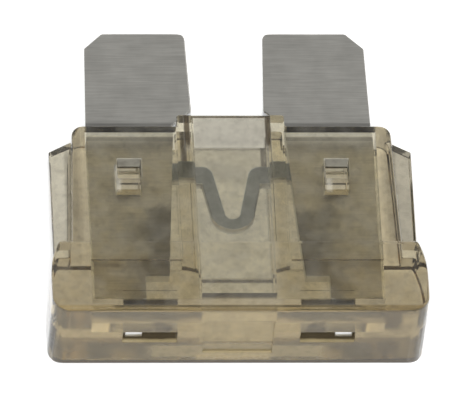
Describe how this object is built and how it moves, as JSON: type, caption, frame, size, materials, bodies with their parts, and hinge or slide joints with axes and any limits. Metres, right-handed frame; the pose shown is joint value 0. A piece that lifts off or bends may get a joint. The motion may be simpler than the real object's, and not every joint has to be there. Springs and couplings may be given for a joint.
{
  "type": "automotive blade fuse",
  "caption": "Blade fuse with a clear smoky housing round a stamped metal element: two flat blades joined by a thin U-shaped link.",
  "frame": {"origin": "centre of the bounding box, at the level of the broad back face of the head, on which the fuse lies", "axes": "+X across the two blades, +Y from the head to the blade tips, +Z through the thickness, up from the surface it lies on"},
  "size_m": [0.019, 0.0186, 0.0051],
  "materials": {
    "clear_housing": "moulded, transparent, smoky amber tint",
    "fuse_metal": "stamped zinc sheet, dull grey with light tarnish"
  },
  "bodies": {
    "root": {"housing": "clear_housing", "fuse_element": "fuse_metal"}
  },
  "joints": []
}
